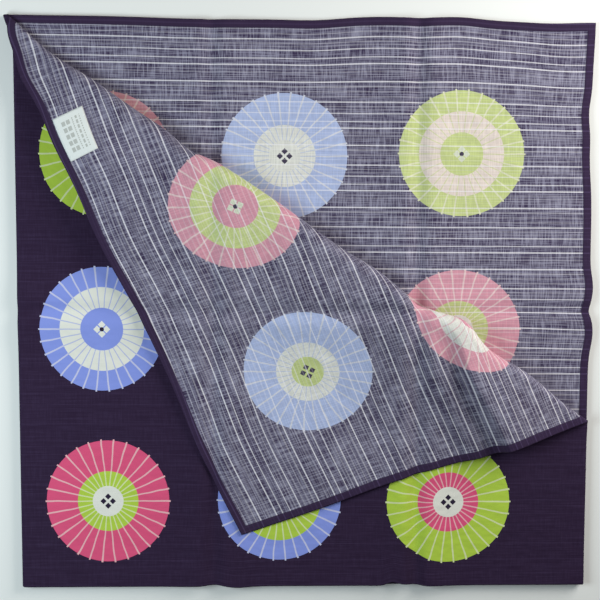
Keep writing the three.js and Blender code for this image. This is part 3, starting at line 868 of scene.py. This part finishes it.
# The label's plain bars, in millimetres on it: rows across its depth, (place, half-width, repeat,
# share that is printed).
BAR_ROWS = [
    (7.4, 1.6, 6.2, 0.66),
    (11.6, 1.6, 6.2, 0.66),
    (15.6, 0.5, 1.9, 0.7),
    (19.0, 0.9, 4.7, 0.72),
    (22.0, 0.5, 2.3, 0.6),
]
BAR_MARGIN = 5.5  # the bars keep this far from the label's ends


def label_material(start, length, edge, tape):
    """Woven tape with rows of short plain grey bars."""
    material = bpy.data.materials.new("label")
    material.use_nodes = True
    tree = material.node_tree
    shader = tree.nodes["Principled BSDF"]
    u, v = threads(tree, "woven")
    across, down = u - start, edge - v
    within = (across > BAR_MARGIN) * (across < length - BAR_MARGIN)
    bars = 0.0
    for place, half_width, repeat, share in BAR_ROWS:
        row = (abs(down - place) < half_width) * ((across / repeat) % 1 < share)
        bars = row + bars
    weave = noise(u, v, TAPE_WEAVE, 2.0)
    worn = bars * within * (BAR_FAINT + weave * BAR_WEAVE)
    colour = mix(worn, tape, LABEL_BAR)
    tree.links.new(colour.socket, shader.inputs["Base Color"])
    shader.inputs["Roughness"].default_value = TAPE_ROUGHNESS
    shader.inputs["Specular IOR Level"].default_value = TAPE_SPECULAR
    bump = node(tree, "ShaderNodeBump", {}, BUMP_STRENGTH, TAPE_BUMP, None, weave)
    tree.links.new(bump.socket, shader.inputs["Normal"])
    return material


def add_piece(mesh, node_name):
    """Puts a finished mesh in the scene in place of its solid."""
    piece = bpy.data.objects.new(mesh.name, mesh)
    bpy.context.scene.collection.objects.link(piece)
    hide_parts(node_name)
    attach(piece, "root")
    return piece


# The light: two soft lamps (name, place in metres, size, colour, watts), and what the room sends
# back.
LAMPS = [
    ("window", (0.70, 0.42, 0.45), 0.55, (1.0, 0.97, 0.93), 8.2),
    ("second_window", (-0.66, -0.04, 0.66), 0.5, (0.84, 0.96, 1.0), 5.8),
]
ROOM_LIGHT = 0.08
FLOOR_REACH = 4.0  # metres from the middle to each side of the floor
CAMERA_AWAY, CAMERA_TILT = 1.1, math.radians(4.7)  # metres, and how far it leans from straight down
CAMERA_LENS, CAMERA_SENSOR = 72.6, 36.0  # millimetres


def colour_setting(name, about, default):
    """A setting that holds a colour, to stand in a property group."""
    return bpy.props.FloatVectorProperty(
        name=name,
        description=about,
        default=default,
        size=4,
        min=0.0,
        max=1.0,
        subtype="COLOR",
    )


class FuroshikiCloth(bpy.types.PropertyGroup):
    side: bpy.props.FloatProperty(
        name="Side",
        description="Side of the open, hemmed square",
        default=1.04,
        unit="LENGTH",
    )
    sheet: bpy.props.FloatProperty(
        name="Sheet",
        description="Thickness of the cloth",
        default=0.0009,
        unit="LENGTH",
    )
    pitch: bpy.props.FloatProperty(
        name="Pitch",
        description="Height from one layer to the next",
        default=0.002,
        unit="LENGTH",
    )
    hem: bpy.props.FloatProperty(
        name="Hem",
        description="Width of the turned-in hem",
        default=0.0065,
        unit="LENGTH",
    )
    hem_extra: bpy.props.FloatProperty(
        name="Hem extra",
        description="What the hem adds on the reverse",
        default=0.0005,
        unit="LENGTH",
    )


class FuroshikiLabel(bpy.types.PropertyGroup):
    start: bpy.props.FloatProperty(
        name="Start",
        description="Place of the label's first end along the top hem",
        default=0.107,
        unit="LENGTH",
    )
    length: bpy.props.FloatProperty(
        name="Length",
        description="Length of the label along the hem",
        default=0.0412,
        unit="LENGTH",
    )
    depth: bpy.props.FloatProperty(
        name="Depth",
        description="Width of the label across the hem",
        default=0.027,
        unit="LENGTH",
    )
    skew: bpy.props.FloatProperty(
        name="Skew",
        description="How far the label leans against the sheared threads, to keep its corners square",
        default=0.14,
    )


class FuroshikiColours(bpy.types.PropertyGroup):
    front_ground: colour_setting("Front ground", "Ground of the printed front", FRONT["ground"])
    front_lime: colour_setting("Front lime", "Lime parasols on the front", FRONT["lime"])
    front_pink: colour_setting("Front pink", "Pink parasols on the front", FRONT["pink"])
    front_blue: colour_setting("Front blue", "Blue parasols on the front", FRONT["blue"])
    reverse_ground: colour_setting("Reverse ground", "Ground of the reverse", REVERSE["ground"])
    reverse_lime: colour_setting("Reverse lime", "Lime parasols on the reverse", REVERSE["lime"])
    reverse_pink: colour_setting("Reverse pink", "Pink parasols on the reverse", REVERSE["pink"])
    reverse_blue: colour_setting("Reverse blue", "Blue parasols on the reverse", REVERSE["blue"])
    label_tape: colour_setting("Label tape", "Tape of the label", LABEL_TAPE)


def with_slips(points):
    """The print's points: the woven ones, less how far the nearest parasol is off the grid."""
    cell = np.floor(points / MOTIF_PITCH)
    away = np.linalg.norm(points - (cell + 0.5) * MOTIF_PITCH, axis=1)
    hold = smooth((SLIP_END - away) / (SLIP_END - SLIP_FULL))
    for column, row, right, up in SLIPS:
        here = (cell == [column, row]).all(1) * hold
        points = points - here[:, None] * [right, up]
    return points


def folding_of(scene):
    """The folding for the cloth's settings."""
    cloth = scene.furoshiki_cloth
    return Folding(cloth.side / MM, cloth.pitch / MM, cloth.sheet / MM)


def colours_of(scene, side, table):
    """The colours of one side of the cloth, with the settings in place of the table's own."""
    settings = scene.furoshiki_colours
    names = ("ground", "lime", "pink", "blue")
    chosen = {name: tuple(getattr(settings, f"{side}_{name}")) for name in names}
    return {**table, **chosen}


def placed(points):
    """Places in millimetres as metres over the middle of the folded cloth."""
    return (points - [*CENTRE, 0.0]) * MM


class FUROSHIKI_OT_cloth(bpy.types.Operator):
    """Builds the folded cloth"""

    bl_idname = "furoshiki.cloth"
    bl_label = "Build the cloth"

    def execute(self, context):
        settings = context.scene.furoshiki_cloth
        folding = folding_of(context.scene)
        hem, extra = settings.hem / MM, settings.hem_extra / MM
        sheet = settings.sheet / MM

        def thick(points):
            edge = folding.half - np.abs(points).max(1)
            return extra * (1 - smooth(edge - hem))

        def face(points, side):
            u, v = points.T
            offset = sheet / 2 if side > 0 else -sheet / 2 - thick(points)
            normal = folding.front(u, v)
            return placed(folding.point(u, v) + normal * np.reshape(offset, (-1, 1)))

        def rim(points):
            past = (sheet + extra) * RIM_PAST
            edge = np.abs(points) > folding.half - WELD
            u, v = (points + np.sign(points) * edge * past).T
            normal = folding.front(*points.T)
            return placed(folding.point(u, v) - normal * extra / 2)

        def woven(points):
            return np.stack(folding.woven(*points.T), -1)

        def printed(points):
            return with_slips(woven(points))

        def hemmed(points):
            return np.stack(folding.to_hem(*points.T), -1)

        maps = {"hem": hemmed, "woven": woven, "print": printed}
        mesh = sheet_mesh("furoshiki", cloth_grids(folding, hem), face, rim, maps)
        front = colours_of(context.scene, "front", FRONT)
        reverse = colours_of(context.scene, "reverse", REVERSE)
        mesh.materials.append(cloth_material("cloth front", front, None, folding.half, hem))
        mesh.materials.append(cloth_material("cloth reverse", reverse, front, folding.half, hem))
        piece = add_piece(mesh, "cloth")
        return {"FINISHED"}


class FUROSHIKI_OT_label(bpy.types.Operator):
    """Builds the care label sewn on the reverse"""

    bl_idname = "furoshiki.label"
    bl_label = "Build the label"

    def execute(self, context):
        settings = context.scene.furoshiki_label
        cloth = context.scene.furoshiki_cloth
        folding = folding_of(context.scene)
        start, length, depth = (
            value / MM for value in (settings.start, settings.length, settings.depth)
        )
        edge = folding.half - cloth.hem / MM - 1
        columns = spread(start, start + length, LABEL_COLUMNS)
        rows = spread(edge - depth, edge, LABEL_ROWS)
        grid = np.stack(np.meshgrid(columns, rows, indexing="ij"), -1)

        def face(points, side):
            u, v = points.T
            u = u - settings.skew * (edge - v)
            away = cloth.sheet / MM / 2 + LABEL_GAP + (0 if side > 0 else LABEL_THICK)
            return placed(folding.point(u, v) - folding.front(u, v) * away)

        def rim(points):
            return (face(points, 1) + face(points, -1)) / 2

        mesh = sheet_mesh("care_label", [grid], face, rim, {"woven": np.array})
        tape = tuple(context.scene.furoshiki_colours.label_tape)
        mesh.materials.append(label_material(start, length, edge, tape))
        mesh.materials.append(mesh.materials[0])
        piece = add_piece(mesh, "label")
        return {"FINISHED"}


class FUROSHIKI_OT_stage(bpy.types.Operator):
    """Builds the floor, the lights and the camera"""

    bl_idname = "furoshiki.stage"
    bl_label = "Build the stage"

    def execute(self, context):
        scene = context.scene
        mesh = bpy.data.meshes.new("floor")
        far = FLOOR_REACH
        corners = [(-far, -far, 0), (far, -far, 0), (far, far, 0), (-far, far, 0)]
        mesh.from_pydata(corners, [], [(0, 1, 2, 3)])
        floor = bpy.data.objects.new("floor", mesh)
        scene.collection.objects.link(floor)
        material = bpy.data.materials.new("floor")
        material.use_nodes = True
        shader = material.node_tree.nodes["Principled BSDF"]
        shader.inputs["Base Color"].default_value = FLOOR_COLOUR
        shader.inputs["Roughness"].default_value = FLOOR_ROUGHNESS
        mesh.materials.append(material)

        world = bpy.data.worlds.new("room")
        scene.world = world
        world.use_nodes = True
        background = world.node_tree.nodes["Background"]
        background.inputs["Color"].default_value = (1.0, 1.0, 1.0, 1.0)
        background.inputs["Strength"].default_value = ROOM_LIGHT

        for name, place, size, colour, energy in LAMPS:
            lamp = bpy.data.lights.new(name, "AREA")
            lamp.size = size
            lamp.energy = energy
            lamp.color = colour
            holder = bpy.data.objects.new(name, lamp)
            holder.location = place
            holder.rotation_mode = "QUATERNION"
            holder.rotation_quaternion = (-holder.location).to_track_quat("-Z", "Y")
            scene.collection.objects.link(holder)

        camera = bpy.data.cameras.new("camera")
        camera.sensor_width = CAMERA_SENSOR
        camera.lens = CAMERA_LENS
        viewer = bpy.data.objects.new("camera", camera)
        behind = CAMERA_AWAY * math.sin(CAMERA_TILT)
        above = CAMERA_AWAY * math.cos(CAMERA_TILT)
        viewer.location = (-CENTRE[0] * MM, -CENTRE[1] * MM + behind, above)
        viewer.rotation_euler = (-CAMERA_TILT, 0.0, 0.0)
        scene.collection.objects.link(viewer)
        scene.camera = viewer
        scene.view_settings.view_transform = "Standard"
        return {"FINISHED"}


class FUROSHIKI_PT_panel(bpy.types.Panel):
    """Lists the sizes and the operators in the sidebar"""

    bl_idname = "FUROSHIKI_PT_panel"
    bl_label = "Furoshiki"
    bl_space_type = "VIEW_3D"
    bl_region_type = "UI"
    bl_category = "Furoshiki"

    def draw(self, context):
        scene = context.scene
        groups = (scene.furoshiki_cloth, scene.furoshiki_label, scene.furoshiki_colours)
        for group in groups:
            box = self.layout.box()
            for name in group.bl_rna.properties.keys():
                if name not in ("rna_type", "name"):
                    box.prop(group, name)
        for operator in (FUROSHIKI_OT_cloth, FUROSHIKI_OT_label, FUROSHIKI_OT_stage):
            self.layout.operator(operator.bl_idname)


CLASSES = (
    FuroshikiCloth,
    FuroshikiLabel,
    FuroshikiColours,
    FUROSHIKI_OT_cloth,
    FUROSHIKI_OT_label,
    FUROSHIKI_OT_stage,
    FUROSHIKI_PT_panel,
)


def register():
    for kind in CLASSES:
        bpy.utils.register_class(kind)
    bpy.types.Scene.furoshiki_cloth = bpy.props.PointerProperty(type=FuroshikiCloth)
    bpy.types.Scene.furoshiki_label = bpy.props.PointerProperty(type=FuroshikiLabel)
    bpy.types.Scene.furoshiki_colours = bpy.props.PointerProperty(type=FuroshikiColours)


def unregister():
    del bpy.types.Scene.furoshiki_colours
    del bpy.types.Scene.furoshiki_label
    del bpy.types.Scene.furoshiki_cloth
    for kind in reversed(CLASSES):
        bpy.utils.unregister_class(kind)


def main():
    """Registers the add-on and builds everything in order."""
    register()
    bpy.ops.furoshiki.cloth()
    bpy.ops.furoshiki.label()
    bpy.ops.furoshiki.stage()


if __name__ == "__main__":
    main()
